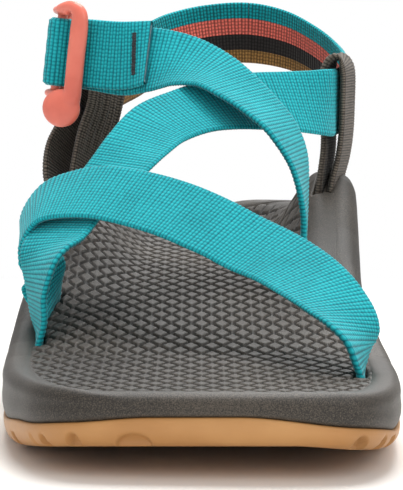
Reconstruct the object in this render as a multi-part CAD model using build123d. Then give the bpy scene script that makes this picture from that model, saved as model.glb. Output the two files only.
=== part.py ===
from build123d import *
import os

# Open sport sandal for a right foot. Millimetres. Toe towards -Y, heel towards +Y, inner
# (medial) side +X, outer (lateral) side -X, ground at Z = 0, origin under the middle of the
# sole. The straps are drawn as worn: one webbing strap that laces through the midsole.

SOLE_LENGTH = 262.0
HALF = SOLE_LENGTH / 2
RUBBER = 6.3  # outsole thickness including the lugs
WEB_W = 20.0  # webbing width
WEB_T = 2.0  # webbing thickness
SLOT_GAP = 0.4  # webbing slots are this much larger all round
BAR_R = 1.7  # buckle bars that carry webbing
RAIL_IN = 10.9  # inner face of the buckle's side rails, from its middle
RAIL_T = 2.5

# Outline of the footbed seen from above, clockwise from the toe tip
OUTLINE = [
    (28, -130.6), (14, -131), (2, -130.2), (-10, -129.2), (-21, -128), (-31, -125), (-38.5, -117),
    (-43.2, -105), (-46.5, -92), (-48.6, -78), (-50, -60), (-50.6, -32), (-50, -5), (-48.5, 18),
    (-47.5, 38), (-46.5, 58), (-44.5, 78), (-41, 95), (-35.5, 110), (-26, 122), (-14, 129), (0, 131),
    (14, 129.6), (27, 123), (36, 112), (42, 96), (45, 80), (46.5, 62), (46.3, 46), (45.7, 28), (45, 8),
    (45.2, -12), (47, -36), (48.4, -56), (48.5, -76), (47.5, -94), (45.8, -108), (42.6, -119.5),
    (37, -127.6),
]  # fmt: skip

# Heights along the foot: (y, footbed middle, lateral rim, medial rim)
PROFILE = [
    (-131, 20.6, 21.2, 20.0), (-118, 19.4, 20.8, 19.3), (-100, 18.9, 19.8, 18.6), (-80, 18.8, 18.9, 18.0),
    (-58, 19.4, 18.5, 18.2), (-40, 21.6, 19.6, 21.0), (-22, 24.6, 22.8, 24.6), (-2, 27.4, 28.0, 29.5),
    (14, 29.2, 32.4, 35.5), (34, 31.0, 37.6, 43.5), (49, 32.0, 41.0, 51.0), (60, 32.6, 42.6, 56.3),
    (67, 32.9, 43.4, 57.6), (75, 33.3, 43.9, 55.0), (86, 33.9, 44.0, 49.5), (98, 34.8, 43.8, 46.4),
    (110, 36.6, 43.6, 45.0), (121, 40.6, 43.8, 44.4), (131, 44.0, 44.0, 44.0), (142, 45.0, 44.0, 44.0),
]  # fmt: skip

# Webbing runs: (x, y, z of the middle line, and the vector across the strap)
FOREFOOT = [
    (38.6, -84, 12.8, 0, 20, 0), (38.6, -84, 16, 0, 20, 0), (38.7, -84, 20.5, 3, 19.7, 0),
    (38.4, -83.8, 25.6, 7, 18.6, 1), (36.8, -82, 29.4, 9.6, 17.3, 2.1), (33.6, -77.5, 33.6, 12, 15.2, 4),
    (28.2, -70, 38.4, 12.5, 13.8, 7), (20.8, -60, 42.8, 10.5, 14.2, 9.5), (11.7, -51, 46.5, 8, 14.5, 11.8),
    (3, -45, 50.5, 6.8, 14, 12.3), (-6.6, -38.2, 54.1, 5.1, 14.5, 12.6),
    (-16.8, -31.3, 56.6, 3.8, 15.5, 12.9),
    (-26.6, -25, 57.9, 2.5, 16, 12.2), (-35, -19.8, 57.2, 2, 16.5, 10.9), (-43.4, -16, 54.2, -0.5, 18, 8),
    (-48.2, -14, 47, -2, 19, 3), (-46.8, -13, 41.2, 5, 18, 0), (-43.6, -11.8, 36.5, 11, 16, -2),
    (-42.2, -10, 31, 9, 17, -2), (-41.2, -8.2, 26, 4, 19.5, -1), (-40.8, -7, 20, 0, 20, 0),
    (-40.5, -7, 13, 0, 20, 0),
]  # fmt: skip
MIDFOOT = [
    (-42.5, -36, 12.6, 0, 20, 0), (-42.5, -36, 18, 0, 20, 0), (-42.7, -36, 25.5, -4.4, 19.5, 0),
    (-43.2, -36, 32.4, -5.6, 19, 1.6), (-42.7, -35.4, 38.6, -8.3, 17.5, 0),
    (-41.2, -33.4, 42.6, -9.8, 15.6, 0),
    (-38.1, -28.5, 46.8, -13.9, 9.5, -1.1), (-32.3, -20.5, 53.2, -12.6, 13.6, 1),
    (-22.8, -8.6, 63.4, -14.6, 13, 3.4),
    (-16.9, 0, 69.8, -14.8, 12.5, 6.6), (-11, 8, 74.8, -12.8, 12.6, 10), (-2.7, 15.3, 77.8, -10.8, 13, 11),
    (6.5, 22.4, 79.5, -9.4, 11.2, 13.6), (16.8, 30.2, 80, -8, 8.5, 16), (26.5, 38, 79.6, -6.5, 7, 17.5),
    (34, 45, 79.1, -4, 4.6, 18.6), (37.6, 50, 79, -1.5, 2, 19.8), (39.2, 55, 79, 0, 0, 20),
    (41, 63, 79.2, 0, 0, 20), (43.2, 73, 79.8, 0, 0, 20),
]  # fmt: skip
INSTEP = [
    (28, 12, 13, 0, 20, 0), (28, 12, 24, 0, 20, 0), (28.4, 12, 36, 0.5, 20, 0),
    (28.9, 12.4, 50, 1.5, 20, 0.5),
    (27.3, 12.6, 63.5, 4.6, 19, 2.5), (22.9, 13.6, 72.6, 8, 18, 1.5), (17, 16.5, 78.9, 9.4, 17, 2.7),
    (10.3, 20.7, 84.3, 9, 16.5, 5.4), (3.2, 26, 88.8, 7.4, 15.6, 8.4), (-5.5, 31.2, 91.4, 5, 12.6, 13.2),
    (-14.3, 35.8, 91.8, 3, 7, 18.4), (-22.3, 41, 91.4, 2.2, 1.5, 19.8), (-30.4, 46.4, 92.6, 2.2, 0, 19.9),
]  # fmt: skip
HEEL = [
    (43.8, 75.6, 80, 0, -1, 20), (44.6, 86, 82.4, 0, -3, 20), (42.8, 97, 86.4, 0, -6, 19),
    (37.2, 109, 92, -1, -7, 18.6), (28, 119.8, 96.8, -2, -5, 19.2), (15.5, 126.4, 99.2, -2, -3, 19.6),
    (2, 126.4, 98.4, -2, -3, 19.6), (-9.5, 119.6, 95.6, -2, -1, 20), (-17, 109, 92, -2, 0, 20),
    (-22, 99.4, 88.8, -2, 0, 20), (-26.6, 88.4, 86.4, -1, 0, 20),
]  # fmt: skip
# Scallops in the rubber round the toe: (x, y, radius)
SCALLOPS = [
    (-37, -121, 3.2), (-31, -127, 3), (-23, -130, 3.4), (33, -131.5, 2.6), (39, -128, 2.6), (44, -120, 3),
]  # fmt: skip
# Ends of the webbing hidden under the footbed: (x, y), and the level of its middle
TOE_RUN = [(38.2, -84), (-42.3, -36)]
ARCH_RUN = [(27.6, 12), (-40.1, -7)]
RUN_Z = 11.3
OUTER_RISER = [
    (-41.5, 66, 28, 0, 20, 0), (-42, 66, 38, 0, 20, 0), (-43.4, 66.4, 48, 2, 20, 0),
    (-44.3, 68, 56, 6, 19, 0),
    (-42.6, 70.6, 64, 9, 18, 0), (-38.6, 72.8, 72, 10, 17.4, 0), (-34.8, 74.8, 80, 9.4, 17.6, 0),
    (-33, 76.2, 88, 9, 17.8, 0), (-32.6, 76.6, 95, 9, 17.8, 0),
]  # fmt: skip
INNER_RISER = [
    (-38.6, 66, 28, 0, 20, 0), (-38.4, 66, 38, 1, 20, 0), (-37.4, 66.6, 48, 4, 19.6, 0),
    (-35.6, 68, 57, 8, 18.4, 0), (-33, 70, 66, 9.6, 17.6, 0), (-30, 72.4, 76, 9, 17.8, 0),
    (-28.6, 73.8, 86, 9, 17.8, 0), (-28.4, 74, 94, 9, 17.8, 0),
]  # fmt: skip
LOOP_Y = 63.0
LOOP_ACROSS = (4.4, 19.5, 0)
MEDIAL_LOOP = [
    (36.4, 38), (36.6, 48), (37.4, 57), (38.4, 66), (38.3, 78), (38.2, 88.4), (41, 92.2), (43.9, 88.8),
    (44, 78), (43.6, 69), (42.6, 62), (41, 55.5), (39.9, 48), (39.7, 38),
]  # fmt: skip

# Buckle: middle point, direction along the strap, direction of its bars, outward normal
BK_O = Vector(-35.3, 46, 93.3)
BK_S = Vector(0.846, -0.524, -0.094).normalized()
BK_W = Vector(0.11, 0, 0.994).normalized()
BK_N = BK_S.cross(BK_W).normalized()
TURN = (-8.0, 0.0)  # bar the strap turns round, (along, out)
HOLD = (-11.5, -8.5)  # bar the keeper loop holds
WRAP = [
    (-4, -3.1), (-8, -3.1), (-10.2, -2.2), (-11.1, 0), (-10.2, 2.2), (-8, 3.1), (-6, 2), (-4.6, 0.4),
    (-2.8, -0.6), (0, -0.7), (2.6, -0.7),
]  # fmt: skip
KEEPER = [
    (-18.5, -27, -5), (-18.3, -21, -4), (-17.9, -16.4, -2), (-16.4, -11.8, -0.4), (-14.9, -8.6, 0),
    (-13.8, -6.3, 0), (-11.3, -5.5, 0), (-8.6, -5.9, 0), (-5.6, -7.4, 0), (-5.2, -10.4, 0),
    (-7.6, -13.2, -0.4),
    (-12, -14.6, -1.2), (-15, -16.8, -2.4), (-15.9, -21, -4), (-16, -27, -5),
]  # fmt: skip


def mix(table, y):
    """Straight-line reading of a table of rows that start with y."""
    if y <= table[0][0]:
        return table[0][1:]
    for lo, hi in zip(table, table[1:]):
        if y <= hi[0]:
            t = (y - lo[0]) / (hi[0] - lo[0])
            return tuple(a + (b - a) * t for a, b in zip(lo[1:], hi[1:]))
    return table[-1][1:]


def smooth(t):
    t = min(1.0, max(0.0, t))
    return t * t * (3 - 2 * t)


def side_x(y, side):
    """Edge of the outline at y, on the -1 (lateral) or +1 (medial) side."""
    best = 0.0
    ring = OUTLINE + OUTLINE[:1]
    for (xa, ya), (xb, yb) in zip(ring, ring[1:]):
        if min(ya, yb) <= y <= max(ya, yb) and ya != yb:
            x = xa + (xb - xa) * (y - ya) / (yb - ya)
            best = min(best, x) if side < 0 else max(best, x)
    return best


def ground_z(x, y):
    """Underside of the lugs: flat, with toe spring and a small heel bevel."""
    z = 9.2 * (max(0.0, -68 - y) / 63) ** 1.4
    return z + 2.5 * (max(0.0, y - 108) / 23) ** 2


def rubber_z(x, y):
    return ground_z(x, y) + RUBBER


def top_z(x, y):
    """Top of the midsole: low footbed with a high arch wall and a heel cup."""
    mid, lateral, medial = mix(PROFILE, y)
    yy = min(127.0, max(-127.0, y))
    lo, hi = side_x(yy, -1), side_x(yy, 1)
    u = (x - (lo + hi) / 2) / ((hi - lo) / 2)
    back = smooth((y + 60) / 90)
    start = 0.72 - 0.40 * back
    full = 0.96 - 0.18 * back
    g = smooth((abs(u) - start) / (full - start))
    return mid + ((lateral if u < 0 else medial) - mid) * g


def surface(height, dx, dy):
    xs = [-60 + dx * i for i in range(int(120 / dx) + 1)]
    ys = [-140 + dy * i for i in range(int(280 / dy) + 1)]
    grid = [[Vector(x, y, height(x, y)) for y in ys] for x in xs]
    return Face.make_surface_from_array_of_points(grid, tol=0.1, min_deg=3, max_deg=3)


def column(low, high):
    """Upright column with the outline of the sole."""
    edge = Spline(*[Vector(x, y, low) for x, y in OUTLINE], periodic=True)
    return extrude(Face(Wire([edge])), amount=high - low, dir=(0, 0, 1))


def blend(a, b, c, d, t):
    """Smooth value between b and c, with a and d as the values before and after."""
    square, cube = 2 * a - 5 * b + 4 * c - d, 3 * b - a - 3 * c + d
    return 0.5 * (2 * b + (c - a) * t + square * t * t + cube * t**3)


def curve(points, n):
    """Smooth run through rows of numbers, n steps per stretch."""
    rows = [tuple(2 * a - b for a, b in zip(points[0], points[1]))] + list(points)
    rows.append(tuple(2 * a - b for a, b in zip(points[-1], points[-2])))
    out = []
    for i in range(1, len(rows) - 2):
        for k in range(n):
            t = k / n
            p, q, r, s = rows[i - 1 : i + 3]
            out.append(tuple(blend(a, b, c, d, t) for a, b, c, d in zip(p, q, r, s)))
    out.append(tuple(points[-1]))
    return out


def frames(points, n):
    """Middle point, tangent, across and normal unit vectors along a webbing run."""
    rows = curve(points, n)
    mids = [Vector(*r[:3]) for r in rows]
    out = []
    for i, row in enumerate(rows):
        t = (mids[min(i + 1, len(mids) - 1)] - mids[max(i - 1, 0)]).normalized()
        a = Vector(*row[3:])
        a = (a - t * a.dot(t)).normalized()
        out.append((mids[i], t, a, t.cross(a)))
    return out


def webbing(points, n=2, width=WEB_W, thick=WEB_T, shift=0.0, lift=0.0, widths=None):
    """Flat strap lofted along a run; widths can narrow it near its ends."""
    rings = []
    fr = frames(points, n)
    for i, (m, t, a, nn) in enumerate(fr):
        w = (widths(i, len(fr)) if widths else width) / 2
        m = m + a * shift + nn * lift
        k = nn * (thick / 2)
        rings.append(Wire.make_polygon([m + a * w + k, m - a * w + k, m - a * w - k, m + a * w - k]))
    return Solid.make_loft(rings, True)


def local(s, n, w=0.0):
    return BK_O + BK_S * s + BK_N * n + BK_W * w


def rows_at(points):
    """Buckle-frame points as webbing stations."""
    out = []
    for p in points:
        p = local(*p)
        out.append((p.X, p.Y, p.Z, BK_W.X * 20, BK_W.Y * 20, BK_W.Z * 20))
    return out


def run_under(ends, grow=0.0, clear=0.0):
    """Webbing that crosses flat inside the midsole, or with grow and clear the tunnel for it."""
    (xa, ya), (xb, yb) = ends
    h = WEB_W / 2 + grow
    d = Vector(xb - xa, yb - ya, 0).normalized()
    n = Vector(-d.Y, d.X, 0) * (1 if d.X > 0 else -1)
    a, b = Vector(xa, ya, 0) + d * 14, Vector(xb, yb, 0) - d * 14
    half = WEB_T / 2 + clear
    near = [Vector(xa, ya - h), a - n * h, b - n * h, Vector(xb, yb - h)]
    far = [Vector(xb, yb + h), b + n * h, a + n * h, Vector(xa, ya + h)]
    flat = Face(Wire.make_polygon([Vector(c.X, c.Y, RUN_Z - half) for c in near + far]))
    return Solid.extrude(flat, Vector(0, 0, 2 * half))


def level(height):
    """Side view of a level that changes only along the foot, dead flat under the middle."""
    toe = [(y, height(0, y)) for y in (-140, -128, -116, -104, -92, -80, -68)]
    heel = [(y, height(0, y)) for y in (108, 116, 124, 132, 140)]
    return toe[0], heel[-1], Spline(*toe) + Line(toe[-1], heel[0]) + Spline(*heel)


def band(low, high):
    """Solid right across the sole between two levels."""
    la, lb, lower = level(low)
    ha, hb, upper = level(high)
    return Plane.YZ * extrude(make_face(lower + Line(lb, hb) + upper + Line(ha, la)), amount=60, both=True)


def make_outsole():
    body = column(-2.4, 30) & band(ground_z, rubber_z)
    # grooves between the lugs, and scallops round the toe
    for i in range(15):
        y = -118 + 16.6 * i
        for side in (-1, 1):
            groove = Box(62, 3.4, 8).moved(Location((side * 31, y, ground_z(0, y) - 1.2), (0, 0, side * 14)))
            body = body - groove
    for x in (-22, 22):
        body = body - Box(3.2, 190, 8).moved(Location((x, 18, -1.4)))
    for x, y, r in SCALLOPS:
        body = body - Cylinder(r, 7).moved(Location((x, y, ground_z(x, max(y, -128)) + 0.8)))
    return body


def make_midsole(slots):
    body = column(0, 80) & band(rubber_z, lambda x, y: 90)
    body = body & extrude(surface(top_z, 6, 10), amount=90, dir=(0, 0, -1))
    for s in slots:
        body = body - s
    return body


def make_buckle():
    """Ladder-lock buckle: two webbing bars, a front bar, side rails and a thumb paddle."""
    plane = Plane(origin=BK_O, x_dir=BK_S, z_dir=BK_W)  # plane y is then across the strap's face
    out = 1 if plane.y_dir.dot(BK_N) > 0 else -1
    rail = [
        (-3, 0.6), (2.4, 1.0), (3.2, 2.6), (2.4, 4.4), (-2.6, 4.6), (-8, 2.7), (-10.6, 0.6), (-13.4, -7),
        (-13.2, -9.6), (-11.2, -10.6), (-9.4, -9.4), (-9.2, -6), (-7.6, -2.4),
    ]  # fmt: skip
    shape = make_face(Polyline(*[(s, out * n) for s, n in rail], close=True))
    shape = fillet(shape.vertices(), 0.5)
    side = extrude(shape, amount=RAIL_T)
    body = side.moved(Location((0, 0, RAIL_IN))) + side.moved(Location((0, 0, -RAIL_IN - RAIL_T)))
    for s, n in (TURN, HOLD):
        body += Cylinder(BAR_R, 2 * RAIL_IN + 2).moved(Location((s, out * n, 0)))
    front = Box(5.0, 3.6, 2 * RAIL_IN + 2)
    front = fillet(front.edges().filter_by(Axis.Z), 1.6)
    body += front.moved(Location((0.1, out * 3.0, 0)))
    paddle = Ellipse(6.8, 6.4)
    paddle = extrude(make_face(paddle.edges()), amount=3.2)
    paddle = fillet(paddle.edges(), 1.4)
    paddle = paddle.moved(Location((-4.6, out * 1.8 + 1.6, -16.8), (90, 0, 0)))
    body += paddle
    body = body.moved(plane.location)
    return body


def heel_widths(i, n):
    """Half-round ends, so that the strap can swing beside the risers."""
    k = min(i, n - 1 - i)
    return [9.0, 15.4, 18.2, 19.6, 20.0][k] if k < 5 else 20.0


def bar_tack(point, across, normal, length, width=1.6, thick=0.5):
    plane = Plane(origin=point, x_dir=across, z_dir=normal)
    return fillet(Box(length, width, thick).edges().filter_by(Axis.Z), 0.6).moved(plane.location)


def tack_on(points, where, n=2, lift=0.0, length=18.0, along=0.0, shift=0.0):
    """Bar tack lying across a webbing run at one of its stations."""
    m, t, a, nn = frames(points, n)[where]
    return bar_tack(m + nn * lift + t * along + a * shift, a, nn, length)


def build():
    wide, deep = WEB_W + 2 * SLOT_GAP, WEB_T + 2 * SLOT_GAP
    instep = INSTEP + rows_at(WRAP)
    tail_run = INSTEP[-3:]
    loop = [(x, LOOP_Y, z) + LOOP_ACROSS for x, z in MEDIAL_LOOP]
    nodes = {}
    # the four strap ends, each from its lowest station up
    ends = [FOREFOOT[:4], MIDFOOT[:4], FOREFOOT[:-6:-1], INSTEP[:5]]
    down = [webbing([(r[0][0], r[0][1], RUN_Z - 0.4) + r[0][3:]] + r[1:], 2, wide, deep) for r in ends]
    slots = [run_under(TOE_RUN, 0.6, SLOT_GAP) + down[0] + down[1]]
    slots += [run_under(ARCH_RUN, 0.6, SLOT_GAP) + down[2] + down[3]]
    slots += [webbing(loop[:4], 2, wide, deep), webbing(loop[-4:], 2, wide, deep)]
    slots += [webbing(OUTER_RISER[:4], 2, wide, deep), webbing(INNER_RISER[:4], 2, wide, deep)]
    nodes["outsole"] = make_outsole()
    nodes["midsole"] = make_midsole(slots)
    nodes["forefoot_strap"] = webbing(FOREFOOT)
    nodes["midfoot_strap"] = webbing(MIDFOOT)
    nodes["instep_strap"] = webbing(instep)
    nodes["toe_underfoot_run"] = run_under(TOE_RUN)
    nodes["arch_underfoot_run"] = run_under(ARCH_RUN)
    nodes["heel_strap"] = webbing(HEEL, 3, widths=heel_widths)
    nodes["medial_riser_loop"] = webbing(loop)
    nodes["lateral_riser"] = webbing(OUTER_RISER)
    nodes["lateral_riser_lining"] = webbing(INNER_RISER)
    nodes["buckle_keeper"] = webbing(rows_at(KEEPER))
    nodes["strap_tail"] = webbing(tail_run, 3, lift=-2.4, shift=1.4)
    nodes["buckle"] = make_buckle()
    nodes["tail_bar_tack"] = tack_on(tail_run, 2, n=3, lift=-2.4 - WEB_T / 2 - 0.15, shift=1.4)
    nodes["riser_tack_lower"] = tack_on(OUTER_RISER, 11, lift=-WEB_T / 2 - 0.15, length=16)
    nodes["riser_tack_upper"] = tack_on(OUTER_RISER, 14, lift=-WEB_T / 2 - 0.15, length=16)
    return nodes


if __name__ == "__main__":
    os.makedirs("parts", exist_ok=True)
    for name, shape in build().items():
        export_step(shape, f"parts/{name}.step")
        print(name, round(shape.volume))
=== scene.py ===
import math

import bpy
import numpy as np
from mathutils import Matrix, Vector


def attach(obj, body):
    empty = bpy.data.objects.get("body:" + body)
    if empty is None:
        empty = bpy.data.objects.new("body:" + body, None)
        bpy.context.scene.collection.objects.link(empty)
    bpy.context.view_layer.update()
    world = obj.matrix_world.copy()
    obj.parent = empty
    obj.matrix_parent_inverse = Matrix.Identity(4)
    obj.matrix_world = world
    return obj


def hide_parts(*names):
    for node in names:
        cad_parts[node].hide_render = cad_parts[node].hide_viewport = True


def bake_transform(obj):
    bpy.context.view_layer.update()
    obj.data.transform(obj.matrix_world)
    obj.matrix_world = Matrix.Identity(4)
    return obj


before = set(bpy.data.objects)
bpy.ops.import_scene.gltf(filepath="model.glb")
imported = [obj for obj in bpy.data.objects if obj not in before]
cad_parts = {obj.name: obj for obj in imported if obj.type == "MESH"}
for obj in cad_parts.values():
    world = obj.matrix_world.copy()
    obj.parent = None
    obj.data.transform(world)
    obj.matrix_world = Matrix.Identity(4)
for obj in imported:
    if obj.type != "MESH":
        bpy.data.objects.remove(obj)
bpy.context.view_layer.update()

# Open sport sandal for a right foot, in the part's own frame: toe towards -Y, heel towards +Y,
# inner (medial) side +X, ground at Z = 0. Shapes are worked out in millimetres.
MM = 0.001

# ---------------------------------------------------------------- dimensions (mm)
WEB_W, WEB_T = 20.0, 2.0  # webbing
RUBBER = 6.3  # thickness of the outsole
CELL_X, CELL_Y = 5.4, 8.4  # footbed diamonds
ROW_SHIFT = 0.12  # how far every second row of yarn is set over, in yarns
TEAL_RIB, DARK_RIB = 1.12, 0.8  # spacing of the yarn rows along teal and dark webbing
YARN, YARN_DEPTH = 1.1, 0.3  # width and height of one yarn

# Outline of the footbed from above, clockwise from the toe tip
OUTLINE = [
    (28, -130.6), (14, -131), (2, -130.2), (-10, -129.2), (-21, -128), (-31, -125), (-38.5, -117),
    (-43.2, -105), (-46.5, -92), (-48.6, -78), (-50, -60), (-50.6, -32), (-50, -5), (-48.5, 18),
    (-47.5, 38), (-46.5, 58), (-44.5, 78), (-41, 95), (-35.5, 110), (-26, 122), (-14, 129), (0, 131),
    (14, 129.6), (27, 123), (36, 112), (42, 96), (45, 80), (46.5, 62), (46.3, 46), (45.7, 28), (45, 8),
    (45.2, -12), (47, -36), (48.4, -56), (48.5, -76), (47.5, -94), (45.8, -108), (42.6, -119.5),
    (37, -127.6),
]
# (y, footbed middle, lateral rim, medial rim)
PROFILE = np.array([
    (-131, 20.6, 21.2, 20.0), (-118, 19.4, 20.8, 19.3), (-100, 18.9, 19.8, 18.6), (-80, 18.8, 18.9, 18.0),
    (-58, 19.4, 18.5, 18.2), (-40, 21.6, 19.6, 21.0), (-22, 24.6, 22.8, 24.6), (-2, 27.4, 28.0, 29.5),
    (14, 29.2, 32.4, 35.5), (34, 31.0, 37.6, 43.5), (49, 32.0, 41.0, 51.0), (60, 32.6, 42.6, 56.3),
    (67, 32.9, 43.4, 57.6), (75, 33.3, 43.9, 55.0), (86, 33.9, 44.0, 49.5), (98, 34.8, 43.8, 46.4),
    (110, 36.6, 43.6, 45.0), (121, 40.6, 43.8, 44.4), (131, 44.0, 44.0, 44.0), (142, 45.0, 44.0, 44.0),
])
# Webbing runs: x, y, z of the middle line, then the vector across the strap
FOREFOOT = [
    (38.6, -84, 12.8, 0, 20, 0), (38.6, -84, 16, 0, 20, 0), (38.7, -84, 20.5, 3, 19.7, 0),
    (38.4, -83.8, 25.6, 7, 18.6, 1), (36.8, -82, 29.4, 9.6, 17.3, 2.1), (33.6, -77.5, 33.6, 12, 15.2, 4),
    (28.2, -70, 38.4, 12.5, 13.8, 7), (20.8, -60, 42.8, 10.5, 14.2, 9.5), (11.7, -51, 46.5, 8, 14.5, 11.8),
    (3, -45, 50.5, 6.8, 14, 12.3), (-6.6, -38.2, 54.1, 5.1, 14.5, 12.6),
    (-16.8, -31.3, 56.6, 3.8, 15.5, 12.9),
    (-26.6, -25, 57.9, 2.5, 16, 12.2), (-35, -19.8, 57.2, 2, 16.5, 10.9), (-43.4, -16, 54.2, -0.5, 18, 8),
    (-48.2, -14, 47, -2, 19, 3), (-46.8, -13, 41.2, 5, 18, 0), (-43.6, -11.8, 36.5, 11, 16, -2),
    (-42.2, -10, 31, 9, 17, -2), (-41.2, -8.2, 26, 4, 19.5, -1), (-40.8, -7, 20, 0, 20, 0),
    (-40.5, -7, 13, 0, 20, 0),
]
MIDFOOT = [
    (-42.5, -36, 12.6, 0, 20, 0), (-42.5, -36, 18, 0, 20, 0), (-42.7, -36, 25.5, -4.4, 19.5, 0),
    (-43.2, -36, 32.4, -5.6, 19, 1.6), (-42.7, -35.4, 38.6, -8.3, 17.5, 0),
    (-41.2, -33.4, 42.6, -9.8, 15.6, 0),
    (-38.1, -28.5, 46.8, -13.9, 9.5, -1.1), (-32.3, -20.5, 53.2, -12.6, 13.6, 1),
    (-22.8, -8.6, 63.4, -14.6, 13, 3.4),
    (-16.9, 0, 69.8, -14.8, 12.5, 6.6), (-11, 8, 74.8, -12.8, 12.6, 10), (-2.7, 15.3, 77.8, -10.8, 13, 11),
    (6.5, 22.4, 79.5, -9.4, 11.2, 13.6), (16.8, 30.2, 80, -8, 8.5, 16), (26.5, 38, 79.6, -6.5, 7, 17.5),
    (34, 45, 79.1, -4, 4.6, 18.6), (37.6, 50, 79, -1.5, 2, 19.8), (39.2, 55, 79, 0, 0, 20),
    (41, 63, 79.2, 0, 0, 20), (43.2, 73, 79.8, 0, 0, 20),
]
INSTEP = [
    (28, 12, 13, 0, 20, 0), (28, 12, 24, 0, 20, 0), (28.4, 12, 36, 0.5, 20, 0),
    (28.9, 12.4, 50, 1.5, 20, 0.5),
    (27.3, 12.6, 63.5, 4.6, 19, 2.5), (22.9, 13.6, 72.6, 8, 18, 1.5), (17, 16.5, 78.9, 9.4, 17, 2.7),
    (10.3, 20.7, 84.3, 9, 16.5, 5.4), (3.2, 26, 88.8, 7.4, 15.6, 8.4), (-5.5, 31.2, 91.4, 5, 12.6, 13.2),
    (-14.3, 35.8, 91.8, 3, 7, 18.4), (-22.3, 41, 91.4, 2.2, 1.5, 19.8), (-30.4, 46.4, 92.6, 2.2, 0, 19.9),
]
HEEL = [
    (43.8, 75.6, 80, 0, -1, 20), (44.6, 86, 82.4, 0, -3, 20), (42.8, 97, 86.4, 0, -6, 19),
    (37.2, 109, 92, -1, -7, 18.6), (28, 119.8, 96.8, -2, -5, 19.2), (15.5, 126.4, 99.2, -2, -3, 19.6),
    (2, 126.4, 98.4, -2, -3, 19.6), (-9.5, 119.6, 95.6, -2, -1, 20), (-17, 109, 92, -2, 0, 20),
    (-22, 99.4, 88.8, -2, 0, 20), (-26.6, 88.4, 86.4, -1, 0, 20),
]
OUTER_RISER = [
    (-41.5, 66, 28, 0, 20, 0), (-42, 66, 38, 0, 20, 0), (-43.4, 66.4, 48, 2, 20, 0),
    (-44.3, 68, 56, 6, 19, 0),
    (-42.6, 70.6, 64, 9, 18, 0), (-38.6, 72.8, 72, 10, 17.4, 0), (-34.8, 74.8, 80, 9.4, 17.6, 0),
    (-33, 76.2, 88, 9, 17.8, 0), (-32.6, 76.6, 95, 9, 17.8, 0),
]
INNER_RISER = [
    (-38.6, 66, 28, 0, 20, 0), (-38.4, 66, 38, 1, 20, 0), (-37.4, 66.6, 48, 4, 19.6, 0),
    (-35.6, 68, 57, 8, 18.4, 0), (-33, 70, 66, 9.6, 17.6, 0), (-30, 72.4, 76, 9, 17.8, 0),
    (-28.6, 73.8, 86, 9, 17.8, 0), (-28.4, 74, 94, 9, 17.8, 0),
]
LOOP_Y = 63.0
LOOP_ACROSS = (4.4, 19.5, 0)
MEDIAL_LOOP = [
    (36.4, 38), (36.6, 48), (37.4, 57), (38.4, 66), (38.3, 78), (38.2, 88.4), (41, 92.2), (43.9, 88.8),
    (44, 78), (43.6, 69), (42.6, 62), (41, 55.5), (39.9, 48), (39.7, 38),
]
# Runs round the buckle in its own directions: along the strap, outwards, across (0 if left out)
WRAP = [
    (-4, -3.1), (-8, -3.1), (-10.2, -2.2), (-11.1, 0), (-10.2, 2.2), (-8, 3.1), (-6, 2), (-4.6, 0.4),
    (-2.8, -0.6), (0, -0.7), (2.6, -0.7),
]
KEEPER = [
    (-18.5, -27, -5), (-18.3, -21, -4), (-17.9, -16.4, -2), (-16.4, -11.8, -0.4), (-14.9, -8.6, 0),
    (-13.8, -6.3, 0), (-11.3, -5.5, 0), (-8.6, -5.9, 0), (-5.6, -7.4, 0), (-5.2, -10.4, 0),
    (-7.6, -13.2, -0.4),
    (-12, -14.6, -1.2), (-15, -16.8, -2.4), (-15.9, -21, -4), (-16, -27, -5),
]


# ---------------------------------------------------------------- helpers
def smooth(t):
    """Soft step from 0 to 1."""
    t = np.clip(t, 0.0, 1.0)
    return t * t * (3 - 2 * t)


def unit(v):
    return v / np.maximum(np.linalg.norm(v, axis=-1, keepdims=True), 1e-9)


def spline(rows, n, closed=False):
    """Catmull-Rom run through rows, n steps per stretch."""
    p = np.array(rows, float)
    if closed:
        q = np.vstack([p[-1:], p, p[:2]])
    else:
        q = np.vstack([2 * p[:1] - p[1:2], p, 2 * p[-1:] - p[-2:-1]])
    t = (np.arange(n) / n)[:, None]
    out = []
    for i in range(1, len(q) - 2):
        a, b, c, d = q[i - 1 : i + 3]
        square, cube = 2 * a - 5 * b + 4 * c - d, 3 * b - a - 3 * c + d
        out.append(0.5 * (2 * b + (c - a) * t + square * t**2 + cube * t**3))
    out = np.vstack(out)
    return out if closed else np.vstack([out, p[-1:]])


def resample(rows, step):
    """Rows at even spacing along the middle line, and how far along each one is."""
    fine = spline(rows, 40)
    d = np.r_[0, np.cumsum(np.linalg.norm(np.diff(fine[:, :3], axis=0), axis=1))]
    n = max(2, int(round(d[-1] / step)) + 1)
    s = np.linspace(0, d[-1], n)
    return s, np.column_stack([np.interp(s, d, fine[:, k]) for k in range(fine.shape[1])])


def new_mesh(name, verts, quads, uv=None, marks=None):
    """Mesh from arrays in millimetres; marks are named numbers per point for the materials."""
    loops = quads.ravel().astype(np.int32)
    me = bpy.data.meshes.new(name)
    me.vertices.add(len(verts))
    me.vertices.foreach_set("co", (np.asarray(verts, np.float32) * MM).ravel())
    me.loops.add(len(loops))
    me.loops.foreach_set("vertex_index", loops)
    me.polygons.add(len(quads))
    me.polygons.foreach_set("loop_start", np.arange(0, len(loops), 4, dtype=np.int32))
    me.polygons.foreach_set("loop_total", np.full(len(quads), 4, np.int32))
    me.polygons.foreach_set("use_smooth", np.ones(len(quads), bool))
    if uv is not None:
        layer = me.uv_layers.new(name="weave")
        layer.data.foreach_set("uv", np.asarray(uv, np.float32)[loops].ravel())
    for key, values in (marks or {}).items():
        mark = me.attributes.new(key, "FLOAT", "POINT")
        mark.data.foreach_set("value", np.asarray(values, np.float32))
    me.update(calc_edges=True)
    me.validate()
    ob = bpy.data.objects.new(name, me)
    bpy.context.scene.collection.objects.link(ob)
    return ob


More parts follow.
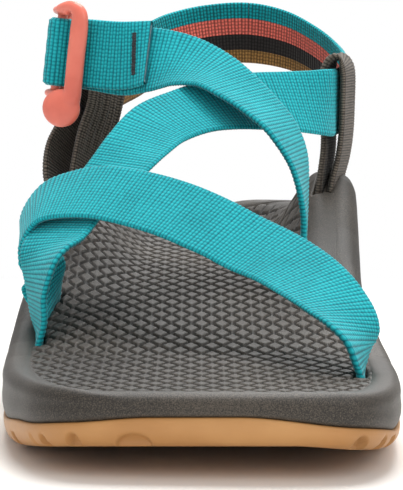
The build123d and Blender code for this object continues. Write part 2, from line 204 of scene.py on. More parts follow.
def grid_quads(nu, nv, closed_v=False):
    """Quads between nu rows of nv points."""
    i, j = np.meshgrid(np.arange(nu - 1), np.arange(nv if closed_v else nv - 1), indexing="ij")
    a = i * nv + j
    b = i * nv + (j + 1) % nv
    return np.stack([a, a + nv, b + nv, b], -1).reshape(-1, 4)


def finish(ob, mat, body, nodes):
    """Material, replaced CAD nodes and body of a piece; no body when none is given."""
    ob.data.materials.append(mat)
    if nodes:
        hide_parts(*nodes)
    if body:
        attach(ob, body)
    return ob


# The buckle's own place, and its directions along the strap, across it and outwards
BK_O = np.array((-35.3, 46.0, 93.3))
BK_S = unit(np.array((0.846, -0.524, -0.094)))
BK_W = unit(np.array((0.11, 0.0, 0.994)))
BK_N = unit(np.cross(BK_S, BK_W))


def local(s, n, w=0.0):
    """Point from the buckle's own directions: along the strap, outwards, across."""
    return BK_O + BK_S * s + BK_N * n + BK_W * w


def rows_at(points):
    """Strap stations from points in the buckle's own directions."""
    return [tuple(local(*p)) + tuple(BK_W * 20) for p in points]


# ---------------------------------------------------------------- sole shape
ring = spline(OUTLINE, 30, closed=True)


def ground_z(y):
    """Underside: flat, with toe spring and a small heel bevel."""
    z = 9.2 * (np.maximum(0.0, -68 - y) / 63) ** 1.4
    return z + 2.5 * (np.maximum(0.0, y - 108) / 23) ** 2


def rubber_top(x, y):
    """Seam between rubber and midsole, dipping at the corners of the toe."""
    z = ground_z(y) + RUBBER - 2.4 * smooth((x - 8) / 28) * smooth((-92 - y) / 22)
    return z - 1.0 * smooth((-x - 12) / 18) * smooth((-100 - y) / 20)


def side_place(x, y):
    """Place across the sole: -1 at the lateral edge, 1 at the medial edge."""
    yy = np.clip(y, -127, 127)
    sides = []
    for rim in (ring[ring[:, 0] < -2], ring[ring[:, 0] > 2]):
        rim = rim[np.argsort(rim[:, 1])]
        sides.append(np.interp(yy, rim[:, 1], rim[:, 0]))
    lo, hi = sides
    return (x - (lo + hi) / 2) / ((hi - lo) / 2)


def top_z(x, y):
    """Top of the midsole: low footbed, high arch wall and heel cup."""
    mid, lateral, medial = (np.interp(y, PROFILE[:, 0], PROFILE[:, k]) for k in (1, 2, 3))
    u = side_place(x, y)
    back = smooth((y + 60) / 90)
    start = 0.72 - 0.40 * back
    full = 0.96 - 0.18 * back
    g = smooth((np.abs(u) - start) / (full - start))
    return mid + (np.where(u < 0, lateral, medial) - mid) * g


def outline_points(n, reach):
    """Even points round the outline, and the directions that point inwards."""
    closed = np.vstack([ring, ring[:1]])
    d = np.r_[0, np.cumsum(np.linalg.norm(np.diff(closed, axis=0), axis=1))]
    s = np.linspace(0, d[-1], n, endpoint=False)
    edge = np.column_stack([np.interp(s, d, closed[:, k]) for k in (0, 1)])
    tan = unit(np.roll(edge, -reach, 0) - np.roll(edge, reach, 0))
    inward = np.column_stack([tan[:, 1], -tan[:, 0]])
    return edge, -inward if (edge * inward).sum() > 0 else inward


def edge_distance(x, y, edge, inward):
    """Distance to the outline, negative outside it."""
    dist = np.zeros(len(x))
    edge, inward = edge[::3], inward[::3]
    for k in range(0, len(x), 20000):
        part = slice(k, k + 20000)
        dx = x[part, None] - edge[None, :, 0]
        dy = y[part, None] - edge[None, :, 1]
        dd = dx * dx + dy * dy
        m = dd.argmin(1)
        row = np.arange(len(m))
        inside = dx[row, m] * inward[m, 0] + dy[row, m] * inward[m, 1] > 0
        dist[part] = np.where(inside, 1, -1) * np.sqrt(dd[row, m])
    return dist


def ring_quads(n, nv):
    """Quads of a strip of n rows that closes on itself round the outline."""
    i, j = np.meshgrid(np.arange(n), np.arange(nv - 1), indexing="ij")
    a = i * nv + j
    b = ((i + 1) % n) * nv + j
    return np.stack([a, a + 1, b + 1, b], -1).reshape(-1, 4)


def plan_grid(step):
    """Points of a level grid over the sole, and its counts along and across."""
    xs, ys = np.arange(-52, 52, step), np.arange(-132, 132, step)
    X, Y = np.meshgrid(xs, ys, indexing="ij")
    return X.ravel(), Y.ravel(), len(xs), len(ys)


def kept_quads(keep, nx, ny, facing_up):
    """Kept points of a level grid, and the quads between them."""
    ids = np.where(keep)[0]
    number = np.full(nx * ny, -1)
    number[ids] = np.arange(len(ids))
    i, j = np.meshgrid(np.arange(nx - 1), np.arange(ny - 1), indexing="ij")
    a = (i * ny + j).ravel()
    b, c = (a + ny, a + 1) if facing_up else (a + 1, a + ny)
    q = number[np.stack([a, b, a + ny + 1, c], -1)]
    return ids, q[(q >= 0).all(1)]


# ---------------------------------------------------------------- materials
def material(name):
    m = bpy.data.materials.new(name)
    m.use_nodes = True
    nt = m.node_tree
    return m, nt, nt.nodes["Principled BSDF"]


def linear(c):
    """Linear value of an sRGB level from 0 to 255."""
    c = c / 255
    return ((c + 0.055) / 1.055) ** 2.4 if c > 0.04045 else c / 12.92


def rgb(r, g, b):
    return linear(r), linear(g), linear(b), 1


def noise(nt, scale, detail):
    place = nt.nodes.new("ShaderNodeTexCoord")
    n = nt.nodes.new("ShaderNodeTexNoise")
    n.inputs["Scale"].default_value = scale
    n.inputs["Detail"].default_value = detail
    nt.links.new(place.outputs["Object"], n.inputs["Vector"])
    return n.outputs[0]


def ramp(nt, source, stops):
    r = nt.nodes.new("ShaderNodeValToRGB")
    el = r.color_ramp.elements
    while len(el) < len(stops):
        el.new(0.5)
    for e, (p, c) in zip(el, stops):
        e.position, e.color = p, c
    nt.links.new(source, r.inputs["Fac"])
    return r


def calc(nt, op, *values):
    """Math node on numbers and sockets."""
    m = nt.nodes.new("ShaderNodeMath")
    m.operation = op
    for socket, v in zip(m.inputs, values):
        if isinstance(v, (int, float)):
            socket.default_value = v
        else:
            nt.links.new(v, socket)
    return m.outputs[0]


def scaled(nt, source, gain, offset):
    return calc(nt, "ADD", calc(nt, "MULTIPLY", source, gain), offset)


def split(nt, source):
    """X and Y of a vector socket."""
    sep = nt.nodes.new("ShaderNodeSeparateXYZ")
    nt.links.new(source, sep.inputs[0])
    return sep.outputs[0], sep.outputs[1]


def attribute(nt, name):
    n = nt.nodes.new("ShaderNodeAttribute")
    n.attribute_name = name
    return n.outputs["Fac"]


def blend_colour(nt, fac, a, b, kind="MIX"):
    m = nt.nodes.new("ShaderNodeMix")
    m.data_type = "RGBA"
    m.blend_type = kind
    if isinstance(fac, float):
        m.inputs[0].default_value = fac
    else:
        nt.links.new(fac, m.inputs[0])
    nt.links.new(a, m.inputs[6])
    nt.links.new(b, m.inputs[7])
    return m.outputs[2]


def relief(nt, shader, height, distance):
    """Fine bumps; the distance is in metres."""
    bump = nt.nodes.new("ShaderNodeBump")
    bump.inputs["Strength"].default_value = 0.3
    bump.inputs["Distance"].default_value = distance
    nt.links.new(height, bump.inputs["Height"])
    nt.links.new(bump.outputs[0], shader.inputs["Normal"])


def woven(name, dark, mid, light, stripes=None, sheen=0.2):
    """Yarn colour follows the weave: painted shade in the furrows, painted highlight on the yarn tops;
    stripes colour the marked face across the strap.
    """
    m, nt, b = material(name)
    uv = nt.nodes.new("ShaderNodeUVMap")
    uv.uv_map = "weave"
    s, v = split(nt, uv.outputs[0])
    row = calc(nt, "MULTIPLY", calc(nt, "MODULO", calc(nt, "FLOOR", s), 2.0), ROW_SHIFT)
    ridge = calc(nt, "ABSOLUTE", calc(nt, "SINE", calc(nt, "MULTIPLY", s, math.pi)))
    pair = calc(nt, "ABSOLUTE", calc(nt, "SINE", calc(nt, "MULTIPLY", s, math.pi / 2)))
    turn = calc(nt, "MULTIPLY", calc(nt, "ADD", v, row), math.pi)
    cross = calc(nt, "ABSOLUTE", calc(nt, "COSINE", turn))
    h = calc(nt, "MULTIPLY", calc(nt, "POWER", ridge, 0.6), scaled(nt, cross, 0.58, 0.42))
    h = calc(nt, "MULTIPLY", h, scaled(nt, calc(nt, "POWER", pair, 0.5), 0.4, 0.6))
    fibre, wear = noise(nt, 1400, 2), noise(nt, 90, 3)
    for grain, amount in ((fibre, 0.55), (wear, 0.35)):
        h = calc(nt, "ADD", h, calc(nt, "MULTIPLY", calc(nt, "SUBTRACT", grain, 0.5), amount))
    # Painted shade in the yarn furrows (dark end) and painted highlight on the yarn tops (light end).
    out = ramp(nt, h, [(0.12, dark), (0.5, mid), (1.0, light)]).outputs[0]
    if stripes:
        band = ramp(nt, attribute(nt, "place"), stripes)
        band.color_ramp.interpolation = "CONSTANT"
        # Painted shade and highlight on the stripes: darker in the furrows, brighter than the stripe
        # colour on the yarn tops.
        painted_shade_and_highlight = ramp(nt, h, [(p, (g, g, g, 1)) for p, g in ((0.18, 0.3), (0.62, 0.9), (1.0, 1.5))])
        striped = blend_colour(nt, 1.0, band.outputs[0], painted_shade_and_highlight.outputs[0], "MULTIPLY")
        out = blend_colour(nt, attribute(nt, "face"), out, striped)
    nt.links.new(out, b.inputs["Base Color"])
    b.inputs["Roughness"].default_value = 0.8
    b.inputs["Sheen Weight"].default_value = sheen
    b.inputs["Sheen Roughness"].default_value = 0.4
    b.inputs["Specular IOR Level"].default_value = 0.25
    relief(nt, b, fibre, 0.0002)
    return m


def foam():
    """Grained foam, with painted shade in the grooves between the footbed's diamonds where the mark says
    so.
    """
    m, nt, b = material("midsole_pu")
    grain = noise(nt, 3600, 3)
    tone = scaled(nt, grain, 0.75, calc(nt, "MULTIPLY", noise(nt, 25, 4), 0.25))
    col = ramp(nt, tone, [(0.36, rgb(26, 24, 21)), (0.50, rgb(50, 45, 39)), (0.64, rgb(86, 78, 68))])
    x, y = split(nt, nt.nodes.new("ShaderNodeTexCoord").outputs["Object"])
    cells = []
    for way in (1, -1):
        across = calc(nt, "MULTIPLY", x, 1 / MM / CELL_X)
        c = calc(nt, "ADD", across, calc(nt, "MULTIPLY", y, way / MM / CELL_Y))
        c = calc(nt, "ABSOLUTE", calc(nt, "SUBTRACT", c, calc(nt, "ROUND", c)))
        cells.append(calc(nt, "MULTIPLY", c, 2.0))
    near = calc(nt, "MINIMUM", *cells)
    # Painted shade: the grooves between the diamonds darken to a tenth of the foam colour.
    deep = ramp(nt, near, [(0.08, (0.10, 0.095, 0.085, 1)), (0.30, (1, 1, 1, 1))])
    cut = blend_colour(nt, 1.0, col.outputs[0], deep.outputs[0], "MULTIPLY")
    out = blend_colour(nt, attribute(nt, "groove_shade_mask"), col.outputs[0], cut)
    nt.links.new(out, b.inputs["Base Color"])
    b.inputs["Roughness"].default_value = 0.52
    b.inputs["Specular IOR Level"].default_value = 0.42
    relief(nt, b, grain, 0.0002)
    return m


def plastic(name, colours, rough, scale, depth):
    """Moulded plastic or rubber, with a slow change of colour and a fine grain."""
    m, nt, b = material(name)
    col = ramp(nt, noise(nt, scale, 4), list(zip((0.30, 0.5, 0.72), colours)))
    nt.links.new(col.outputs[0], b.inputs["Base Color"])
    b.inputs["Roughness"].default_value = rough
    relief(nt, b, noise(nt, 1800, 3), depth)
    return m


# TEAL and DARK each run from painted shade in the yarn furrows, through the webbing's own colour, to a
# painted highlight on the yarn tops.
TEAL = (rgb(0, 98, 108), rgb(2, 146, 156), rgb(36, 184, 192))
DARK = (rgb(26, 23, 20), rgb(74, 67, 60), rgb(120, 110, 99))
TAN_BAND, BLACK_BAND = rgb(150, 112, 62), rgb(44, 41, 40)
CORAL_BAND, TEAL_BAND = rgb(226, 112, 98), rgb(4, 150, 158)
GUM = (rgb(156, 110, 60), rgb(178, 127, 72), rgb(194, 144, 88))
CORAL = (rgb(218, 104, 86), rgb(234, 120, 100), rgb(242, 136, 116))
THREAD = (rgb(22, 24, 28), rgb(34, 36, 42), rgb(54, 56, 62))
teal = woven("teal_webbing", *TEAL)
dark = woven("dark_webbing", *DARK, sheen=0.15)
heel_mat = woven("heel_webbing", *TEAL, stripes=[
    (0.0, TAN_BAND), (0.22, BLACK_BAND), (0.48, CORAL_BAND), (0.74, TEAL_BAND)])
foam_mat = foam()
gum = plastic("gum_rubber", GUM, 0.5, 30, 0.0001)
coral = plastic("coral_plastic", CORAL, 0.30, 60, 0.00002)
thread = plastic("dark_thread", THREAD, 0.6, 900, 0.00004)


# ---------------------------------------------------------------- midsole
LOOP = [(x, LOOP_Y, z) + LOOP_ACROSS for x, z in MEDIAL_LOOP]
SLOTS = [FOREFOOT[:4], FOREFOOT[-4:], MIDFOOT[:3], INSTEP[:3], OUTER_RISER[:3], INNER_RISER[:3],
         LOOP[:3], LOOP[-3:]]
BED_STEP = 0.42  # spacing of the points of the footbed
RIM = 6.9  # width of the plain rim
RIM_RISE = 0.40  # how far the rim stands over the footbed
RIM_R, ARCH_R = 3.4, 6.2  # roundness of the rim, and of its high part along the arch
GROOVE, CROWN = 1.0, 0.25  # depth between the diamonds, and how far they stand up
SLOT_HALF_W, SLOT_HALF_T = 10.5, 1.5  # half width and half thickness of a webbing slot
SLOT_DROP, SLOT_LIP = 5.0, 0.5  # depth of a slot, and of the soft edge round it


def slot_depth(x, y, z):
    """How far the surface drops into the webbing slots."""
    drop = np.zeros_like(x)
    for rows in SLOTS:
        r = np.array(sorted(rows, key=lambda q: q[2]), float)
        c = np.column_stack([np.interp(z, r[:, 2], r[:, k]) for k in range(6)])
        a = unit(c[:, 3:5])
        dx, dy = x - c[:, 0], y - c[:, 1]
        along = np.abs(dx * a[:, 0] + dy * a[:, 1])
        away = np.abs(-dx * a[:, 1] + dy * a[:, 0])
        hole = smooth((SLOT_HALF_T - away) / 0.4) * smooth((SLOT_HALF_W - along) / 0.4)
        lip = smooth((SLOT_HALF_T + 0.9 - away) / 1.0) * smooth((SLOT_HALF_W + 1.3 - along) / 1.2)
        drop = np.maximum(drop, SLOT_DROP * hole + SLOT_LIP * lip)
    return drop


def rim_strip(edge, inward):
    """Rim over the edge and down the side, rounder along the arch."""
    arch = smooth((edge[:, 1] + 15) / 45) * smooth((115 - edge[:, 1]) / 30) * (edge[:, 0] > 0)
    R = RIM_R + (ARCH_R - RIM_R) * arch
    lip = RIM_RISE * (1 - arch)
    level = 0 * lip
    rows = [(level + RIM + 0.9, level - 0.30), (level + RIM + 0.3, level - 0.06), (level + RIM, 0.1 * lip)]
    rows += [(R + (6.6 - R) * k, lip * (1 - 0.25 * k)) for k in (1.0, 0.5)]
    for q in np.linspace(0, np.pi / 2, 9):
        rows.append((R - R * np.sin(q), lip - R * 0.94 * (1 - np.cos(q))))
    # inset and share of the height, down the side wall
    side = [(0.08, 0.86), (0.0, 0.7), (-0.15, 0.52), (-0.12, 0.34), (0.15, 0.18), (0.55, 0.07), (0.9, 0.0)]
    cols = []
    for inset, dz in rows:
        p = edge + inward * inset[:, None]
        cols.append(np.column_stack([p, top_z(p[:, 0], p[:, 1]) + dz]))
    high = cols[-1][:, 2]
    low = rubber_top(edge[:, 0], edge[:, 1])
    for inset, share in side:
        cols.append(np.column_stack([edge + inward * inset, low + (high - low) * share]))
    return np.stack(cols, 1)


def diamond_area(x, y, dist):
    """1 where the footbed has diamonds, 0 on the rim and on the smooth ear."""
    start = 0.84 - 0.24 * smooth((y + 45) / 50)
    ear = smooth((y + 52) / 30) * smooth((side_place(x, y) - start) / 0.08)
    return smooth((dist - 6.8) / 0.9) * (1 - ear)


def footbed_grid(edge, inward):
    """Footbed with diamonds and slots, sunk a little below the rim strip where they meet."""
    x, y, nx, ny = plan_grid(BED_STEP)
    dist = edge_distance(x, y, edge, inward)
    pattern = diamond_area(x, y, dist)
    cells = []
    for way in (1, -1):
        c = x / CELL_X + way * y / CELL_Y
        cells.append(np.abs(c - np.round(c)) * 2)
    diamond = smooth((np.minimum(*cells) - 0.08) / 0.22)
    z0 = top_z(x, y)
    z = z0 - GROOVE * (1 - diamond) * pattern + CROWN * pattern
    z = z - 2.2 * smooth((6.7 - dist) / 1.4) - slot_depth(x, y, z0)
    ids, quads = kept_quads(dist > 4.7, nx, ny, True)
    return np.column_stack([x, y, z])[ids], quads, pattern[ids]


def build_midsole():
    n = 900
    edge, inward = outline_points(n, 2)
    rim = rim_strip(edge, inward)
    nv = rim.shape[1]
    bed, bed_quads, pattern = footbed_grid(edge, inward)
    verts = np.vstack([rim.reshape(-1, 3), bed])
    quads = np.vstack([ring_quads(n, nv), bed_quads + n * nv])
    # The mark gives where the foam material paints shade into the diamond grooves.
    ob = new_mesh("Midsole", verts, quads, marks={"groove_shade_mask": np.r_[np.zeros(n * nv), pattern]})
    return finish(ob, foam_mat, "sandal", ["midsole"])


# ---------------------------------------------------------------- outsole
# Scoops in the rubber round the toe: x, y, half length along the edge, height
SCOOPS = [(-37.5, -119.5, 1.7, 3.2), (-30, -126.5, 2.2, 3.4), (-15.5, -129, 4.2, 3.0),
          (36.5, -128, 2.2, 3.2), (42.5, -121, 1.7, 3.4), (45, -113, 1.7, 3.4)]
# Side of the rubber from the seam round to the underside: inset, share of the height
RUBBER_SIDE = [
    (4.0, 1.0), (1.2, 1.0), (0.55, 0.995), (0.25, 0.96), (0.15, 0.88), (0.15, 0.76), (0.25, 0.64),
    (0.4, 0.54), (0.6, 0.45), (0.85, 0.36), (1.15, 0.28), (1.5, 0.20), (2.0, 0.12), (2.6, 0.055),
    (3.3, 0.015), (4.2, 0.0), (5.6, 0.0),
]
TREAD_STEP = 0.8  # spacing of the points of the underside
LUG_PITCH = 16.6
TREAD = 2.6  # depth of the grooves between the lugs


def tread(x, y):
    """Depth of the grooves under the sole, 0 to 1."""
    lean = np.abs(x) * 0.25
    k = (y + 118 + 7.5 - lean) / LUG_PITCH
    across = np.abs(k - np.round(k)) * LUG_PITCH
    along = np.minimum(np.abs(x - 22), np.abs(x + 22))
    g = smooth((2.2 - across) / 0.7)
    return np.maximum(g, smooth((2.1 - along) / 0.7) * smooth((112 - np.abs(y - 10)) / 4))


def rubber_foot(p):
    """Lowest height of the rubber's side, a little lower at the medial toe."""
    tip = smooth((-100 - p[:, 1]) / 20) * smooth((p[:, 0] - 20) / 15)
    return np.maximum(0.0, ground_z(p[:, 1]) - 0.8 * tip)


def rubber_strip(edge, inward):
    """Side of the rubber, with the ends of the grooves and the scoops round the toe."""
    top = rubber_top(edge[:, 0], edge[:, 1]) - 0.05
    toe = smooth((-100 - edge[:, 1]) / 20)
    notch = tread(edge[:, 0], edge[:, 1]) * (1 - toe) * (np.abs(edge[:, 0]) > 26)
    cols = []
    for inset, share in RUBBER_SIDE:
        low = rubber_foot(edge + inward * inset)
        h = (top - low) * share
        cut = notch * smooth((3.4 - h) / 0.7) * TREAD * (share < 0.99)
        for x, y, half, height in SCOOPS:
            away = np.hypot(edge[:, 0] - x, edge[:, 1] - y) / half
            roof = height * np.sqrt(np.maximum(0, 1 - away**2))
            cut = np.maximum(cut, 2.4 * smooth((roof - h) / 0.9) * (away < 1))
        if inset > 2:
            cut = np.minimum(cut, max(0.0, 4.4 - inset))
        cols.append(np.column_stack([edge + inward * (inset + cut)[:, None], low + h]))
    return np.stack(cols, 1)


def build_outsole():
    n = 1500
    edge, inward = outline_points(n, 3)
    wall = rubber_strip(edge, inward)
    nv = wall.shape[1]
    x, y, nx, ny = plan_grid(TREAD_STEP)
    dist = edge_distance(x, y, edge, inward)
    z = ground_z(y) + TREAD * tread(x, y) * smooth((y + 112) / 10)
    z = z + 1.0 * smooth((6.0 - dist) / 1.2)
    ids, under_quads = kept_quads(dist > 4.2, nx, ny, False)
    verts = np.vstack([wall.reshape(-1, 3), np.column_stack([x, y, z])[ids]])
    ob = new_mesh("Outsole", verts, np.vstack([ring_quads(n, nv), under_quads + n * nv]))
    return finish(ob, gum, "sandal", ["outsole"])


# ---------------------------------------------------------------- straps
def weave(s, v, rib):
    """Height of the woven surface, 0 to 1: rows of yarn along s, every second furrow deep."""
    ridge = np.abs(np.sin(np.pi * s / rib))
    pair = np.abs(np.sin(np.pi * s / rib / 2))
    cross = np.abs(np.cos(np.pi * (v / YARN + ROW_SHIFT * (np.floor(s / rib) % 2))))
    return ridge**0.6 * (0.42 + 0.58 * cross**0.7) * (0.6 + 0.4 * pair**0.5)


def strap_ends(rows, nv, nb):
    """Quads that close both ends of a strap of nv outer and nb inner points across."""
    across = nv + nb - 2
    caps = []
    for first, flip in ((0, False), ((rows - 1) * across, True)):
        for k in range(1, nb - 1):
            here = int(round((nb - 1 - k) * (nv - 1) / (nb - 1)))
            beside = int(round((nb - 2 - k) * (nv - 1) / (nb - 1)))
            after = nv + k if k < nb - 2 else 0
            quad = (first + here, first + nv + k - 1, first + after, first + beside)
            if len(set(quad)) == 4:
                caps.append(quad[::-1] if flip else quad)
    return np.array(caps, int)


def strap(name, rows, outer=1, rib=TEAL_RIB, waves=None):
    """Woven strap, with more points across its outer face than its inner one."""
    step, nv, nb = 0.2, 72, 24  # spacing along it, points across the outer and the inner face
    s, r = resample(rows, step)
    mid, a = r[:, :3], r[:, 3:6]
    t = unit(np.gradient(mid, axis=0))
    a = unit(a - (a * t).sum(1, keepdims=True) * t)
    nn = np.cross(t, a) * outer
    half = WEB_W / 2
    v = np.r_[np.linspace(-half, half, nv), np.linspace(half, -half, nb)[1:-1]]
    side = np.r_[np.ones(nv), -np.ones(nb - 2)]
    S, V = np.meshgrid(s, v, indexing="ij")
    edge = 1 - np.clip((np.abs(V) - (half - 1.1)) / 1.1, 0, 1) ** 2
    plain = WEB_T / 2 * (0.25 + 0.75 * np.sqrt(np.maximum(edge, 0)))
    off = (plain - YARN_DEPTH * (1 - weave(S, V, rib)) * (0.4 + 0.6 * edge)) * side[None, :]
    if waves is not None:
        off = off + waves(S, V, s[-1])
    verts = mid[:, None, :] + a[:, None, :] * V[..., None] + nn[:, None, :] * off[..., None]
    quads = grid_quads(len(s), len(v), closed_v=True)
    if outer < 0:
        quads = quads[:, ::-1]
    quads = np.vstack([quads, strap_ends(len(s), nv, nb)])
    uv = np.column_stack([S.ravel() / rib, V.ravel() / YARN])
    marks = {"face": np.tile(side > 0, len(s)).astype(float), "place": V.ravel() / WEB_W + 0.5}
    return new_mesh(name, verts.reshape(-1, 3), quads, uv, marks)


def tail_run():
    """Stations of the tail, lying on the instep strap and turning in at the buckle."""
    along = unit(np.array(INSTEP[-1][:3]) - np.array(INSTEP[-3][:3]))
    rows = []
    for r in INSTEP[-3:-1]:
        across = unit(np.array(r[3:]))
        out = np.cross(across, along)
        out = unit(out * np.sign(np.dot(out, BK_N)))
        rows.append(tuple(np.array(r[:3]) + out * 2.4 + across * 1.4) + tuple(across * 20))
    rows.append(tuple(local(1.6, -0.2, 0.6)) + tuple(BK_W * 20))
    return rows


def folds(S, V, length):
    """Soft creases where the doubled webbing gathers near its top."""
    k = smooth((S - length * 0.45) / (length * 0.3))
    return 0.5 * k * np.sin(V * 1.5 + 0.9 * np.sin(S * 0.16)) + 0.25 * k * np.sin(V * 0.7 + S * 0.1 + 1)


def build_tail(rows):
    tail = finish(strap("StrapTail", rows, outer=-1), teal, None, ["strap_tail"])
    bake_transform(tail)


def build_heel_strap():
    """The heel strap in two halves that meet at its middle."""
    full = spline(HEEL, 6)
    middle = len(full) // 2
    medial = np.vstack([[(43.0, 71.5, 79.8, 0, 0, 20)], full[1 : middle + 1]])
    lateral = np.vstack([full[middle:-3], [(-27.2, 86.0, 86.0, -1, 0, 20)]])
    # name, run, where the bend starts and ends, replaced node
    halves = (
        ("HeelStrapMedial", medial, (44.6, 79, 80.5), (42.6, 97.5, 86.5), ["heel_strap"]),
        ("HeelStrapLateral", lateral, (-26.0, 90, 86.8), (-18, 107, 91.4), []),
    )
    for name, rows, start, end, nodes in halves:
        half = finish(strap(name, rows, outer=-1), heel_mat, None, nodes)
        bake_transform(half)


# ---------------------------------------------------------------- bar tacks
def station(rows, k, steps, outer):
    """Point, across, along and outward normal on the face of a run."""
    r = spline(rows, steps)
    t = unit(r[min(k + 1, len(r) - 1), :3] - r[max(k - 1, 0), :3])
    a = unit(r[k, 3:] - t * np.dot(r[k, 3:], t))
    nn = np.cross(t, a) * outer
    return r[k, :3] + nn * WEB_T / 2, a, t, nn


def thread_bar(name, at, length, width, count, node, body):
    """Bar tack made of short thread loops lying side by side."""
    mid, across, along, normal = at
    rng = np.random.default_rng(count)
    u, w = np.meshgrid(np.linspace(-1, 1, 9), np.linspace(0, 2 * np.pi, 9)[:-1], indexing="ij")
    r = length / count * 0.62
    thick = r * np.sqrt(np.maximum(1 - np.abs(u) ** 4, 0.0))
    verts, quads = [], []
    for k in range(count):
        place = (k + 0.5) / count - 0.5
        c = mid + across * place * length + along * rng.uniform(-0.08, 0.08)
        lean = rng.uniform(-0.10, 0.10)
        pts = c + (along + across * lean)[None, None] * (u * width / 2)[..., None]
        pts = pts + across * (thick * np.cos(w))[..., None]
        pts = pts + normal * (thick * np.sin(w) * 1.1 + 0.12)[..., None]
        quads.append(grid_quads(9, 8, closed_v=True) + k * 72)
        verts.append(pts.reshape(-1, 3))
    ob = new_mesh(name, np.vstack(verts), np.vstack(quads))
    return finish(ob, thread, body, [node])


# ---------------------------------------------------------------- buckle
def tube(path, ra, rb, side):
    """Closed rounded bar along a path in the buckle's own directions (along, out, across)."""
    p = spline(path, 10)
    n = len(p)
    ra = np.interp(np.linspace(0, 1, n), np.linspace(0, 1, np.size(ra)), np.atleast_1d(ra))[:, None, None]
    t = unit(np.gradient(p, axis=0))
    e1 = unit(np.cross(t, np.array(side, float)))
    e2 = np.cross(t, e1)
    w = np.linspace(0, 2 * np.pi, 21)[:-1]
    from_end = np.minimum(1, np.minimum(np.arange(n), np.arange(n)[::-1]) / 3.0)
    end = np.maximum(np.sqrt(np.maximum(0.0, 1 - (1 - from_end) ** 2)), 0.02)
    loops = e1[:, None] * np.cos(w)[None, :, None] * ra + e2[:, None] * np.sin(w)[None, :, None] * rb
    verts = p[:, None] + loops * end[:, None, None]
    return verts.reshape(-1, 3), grid_quads(n, 20, closed_v=True)


def ball(centre, radii):
    """Ellipsoid in the buckle's own directions."""
    rise, turn = np.linspace(-np.pi / 2, np.pi / 2, 17), np.linspace(0, 2 * np.pi, 25)[:-1]
    u, w = np.meshgrid(rise, turn, indexing="ij")
    p = np.stack([np.cos(u) * np.cos(w), np.cos(u) * np.sin(w), np.sin(u)], -1)
    return (p * np.array(radii) + np.array(centre)).reshape(-1, 3), grid_quads(17, 24, closed_v=True)


def build_buckle():
    """Ladder-lock buckle: front bar that turns over into the top rail, rails, bars and paddle."""
    front = [(0.3, 3.0, -14), (0.5, 3.3, -8), (0.5, 3.4, 0), (0.5, 3.3, 7), (0.1, 3.3, 11.6),
             (-2.4, 3.2, 13.7), (-5.6, 2.7, 13.3), (-9.0, 0.8, 12.2)]
    parts = [tube(front, [3.0, 3.0, 3.0, 3.0, 2.6, 1.8, 1.6, 1.5], 1.8, (0, 1, 0))]
    for w in (-12.4, 12.2):
        rail = [(-3.5, 2.7, w), (-7.5, 1.2, w), (-11.2, -2.5, w), (-12, -9.3, w)]
        parts.append(tube(rail, 1.9, 1.3, (0, 0, 1)))
    for along, out in ((-8.0, 0.0), (-11.5, -8.5)):
        bar = [(along, out, -12.6), (along, out, 0), (along, out, 12.6)]
        parts.append(tube(bar, 1.7, 1.7, (1, 0, 0)))
    parts.append(ball((-3.2, 2.9, -16.2), (6.7, 2.2, 5.7)))
    parts.append(ball((-0.2, 3.0, -13.4), (3.4, 2.0, 3.6)))
    verts, quads, base = [], [], 0
    for part_verts, part_quads in parts:
        verts.append(np.array([local(*p) for p in part_verts]))
        quads.append(part_quads + base)
        base += len(part_verts)
    ob = new_mesh("Buckle", np.vstack(verts), np.vstack(quads))
    remesh = ob.modifiers.new("Joined", "REMESH")
    remesh.mode = "VOXEL"
    remesh.voxel_size = 0.00024
    remesh.use_smooth_shade = True
    soften = ob.modifiers.new("Soft", "SMOOTH")
    soften.factor = 0.5
    soften.iterations = 24
    return finish(ob, coral, "buckle", ["buckle"])


# ---------------------------------------------------------------- stage, light, camera
def build_floor():
    """White floor that catches the shadow and glows plain white away from the sandal."""
    me = bpy.data.meshes.new("Floor")
    me.from_pydata([(-6, -6, 0), (6, -6, 0), (6, 6, 0), (-6, 6, 0)], [], [(0, 1, 2, 3)])
    floor = bpy.data.objects.new("Floor", me)
    bpy.context.scene.collection.objects.link(floor)
    m, nt, b = material("floor_white")
    b.inputs["Base Color"].default_value = (0.88, 0.86, 0.83, 1)
    b.inputs["Roughness"].default_value = 0.9
    b.inputs["Specular IOR Level"].default_value = 0.0
    away = nt.nodes.new("ShaderNodeVectorMath")
    away.operation = "LENGTH"
    nt.links.new(nt.nodes.new("ShaderNodeTexCoord").outputs["Object"], away.inputs[0])
    far = ramp(nt, away.outputs["Value"], [(0.15, (0, 0, 0, 1)), (0.30, (1, 1, 1, 1))])
    glow = nt.nodes.new("ShaderNodeEmission")
    glow.inputs["Color"].default_value = (1, 1, 1, 1)
    mixer = nt.nodes.new("ShaderNodeMixShader")
    nt.links.new(far.outputs[0], mixer.inputs[0])
    nt.links.new(b.outputs[0], mixer.inputs[1])
    nt.links.new(glow.outputs[0], mixer.inputs[2])
    nt.links.new(mixer.outputs[0], nt.nodes["Material Output"].inputs["Surface"])
    me.materials.append(m)


def build_world():
    """Soft white light from all round, and a plain white backdrop."""
    world = bpy.data.worlds.new("World")
    bpy.context.scene.world = world
    world.use_nodes = True
    nt = world.node_tree
    light = nt.nodes["Background"]
    backdrop = nt.nodes.new("ShaderNodeBackground")
    for node, strength in ((light, 0.62), (backdrop, 1.0)):
        node.inputs[0].default_value = (1, 1, 1, 1)
        node.inputs[1].default_value = strength
    seen = nt.nodes.new("ShaderNodeLightPath")
    both = nt.nodes.new("ShaderNodeMixShader")
    nt.links.new(seen.outputs["Is Camera Ray"], both.inputs[0])
    nt.links.new(light.outputs[0], both.inputs[1])
    nt.links.new(backdrop.outputs[0], both.inputs[2])
    nt.links.new(both.outputs[0], nt.nodes["World Output"].inputs["Surface"])


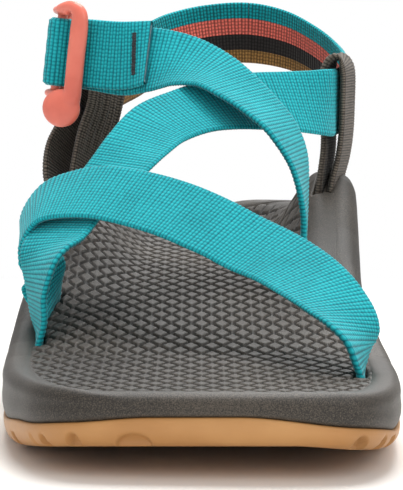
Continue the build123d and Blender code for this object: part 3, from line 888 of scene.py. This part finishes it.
def area(name, place, aim, size, power):
    light = bpy.data.lights.new(name, "AREA")
    light.energy = power
    light.size = size
    o = bpy.data.objects.new(name, light)
    o.location = place
    o.rotation_euler = (Vector(aim) - Vector(place)).to_track_quat("-Z", "Y").to_euler()
    bpy.context.scene.collection.objects.link(o)


SENSOR, FOCAL = 36, 173.6816  # camera, millimetres
CAMERA_AT = (0, -0.651, 0.1041)  # metres, in front of the toe and a little above it
CAMERA_DOWN = 5.49  # degrees below level


def build_camera():
    cam = bpy.data.cameras.new("Camera")
    cam.sensor_width = SENSOR
    cam.lens = FOCAL
    cam.clip_start = 0.01
    cam.clip_end = 50
    o = bpy.data.objects.new("Camera", cam)
    o.location = CAMERA_AT
    o.rotation_euler = (math.radians(90 - CAMERA_DOWN), 0, 0)
    bpy.context.scene.collection.objects.link(o)
    bpy.context.scene.camera = o


# ---------------------------------------------------------------- build
build_midsole()
build_outsole()
for name, rows, outer, node in (
    ("ForefootStrap", FOREFOOT, -1, "forefoot_strap"),
    ("MidfootStrap", MIDFOOT, 1, "midfoot_strap"),
    ("InstepStrap", INSTEP + rows_at(WRAP), -1, "instep_strap"),
):
    finish(strap(name, rows, outer), teal, "sandal", [node])
tail_rows = tail_run()
build_tail(tail_rows)
build_heel_strap()

mid, across, along, normal = station(tail_rows, 3, 6, -1)
at = (mid - along * 0.2, across, along, normal)
thread_bar("TailBarTack", at, 12.6, 1.5, 26, "tail_bar_tack", "tail")
for name, k, node in (
    ("RiserTackLower", 11, "riser_tack_lower"), ("RiserTackUpper", 14, "riser_tack_upper"),
):
    thread_bar(name, station(OUTER_RISER, k, 2, -1), 16, 1.6, 30, node, "sandal")

for name, rows, outer, waves, node in (
    ("MedialRiserLoop", LOOP, 1, None, "medial_riser_loop"),
    ("LateralRiser", OUTER_RISER, -1, None, "lateral_riser"),
    ("LateralRiserLining", INNER_RISER, -1, folds, "lateral_riser_lining"),
    ("BuckleKeeper", rows_at(KEEPER), 1, None, "buckle_keeper"),
):
    finish(strap(name, rows, outer, DARK_RIB, waves), dark, "sandal", [node])
build_buckle()

plain = woven("hidden_webbing", *TEAL)
for node in ("toe_underfoot_run", "arch_underfoot_run"):
    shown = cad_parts[node]
    shown.data.materials.clear()
    shown.data.materials.append(plain)

build_floor()
build_world()
area("Key", (0.05, 0.1, 0.95), (0, 0, 0.03), 0.5, 8.0)
area("Fill", (0.4, -0.75, 0.6), (0, 0, 0.05), 0.6, 2.4)
area("Back", (0.1, 0.8, 0.7), (0, 0.0, 0.05), 0.6, 4.5)
build_camera()
bpy.context.scene.view_settings.view_transform = "Standard"
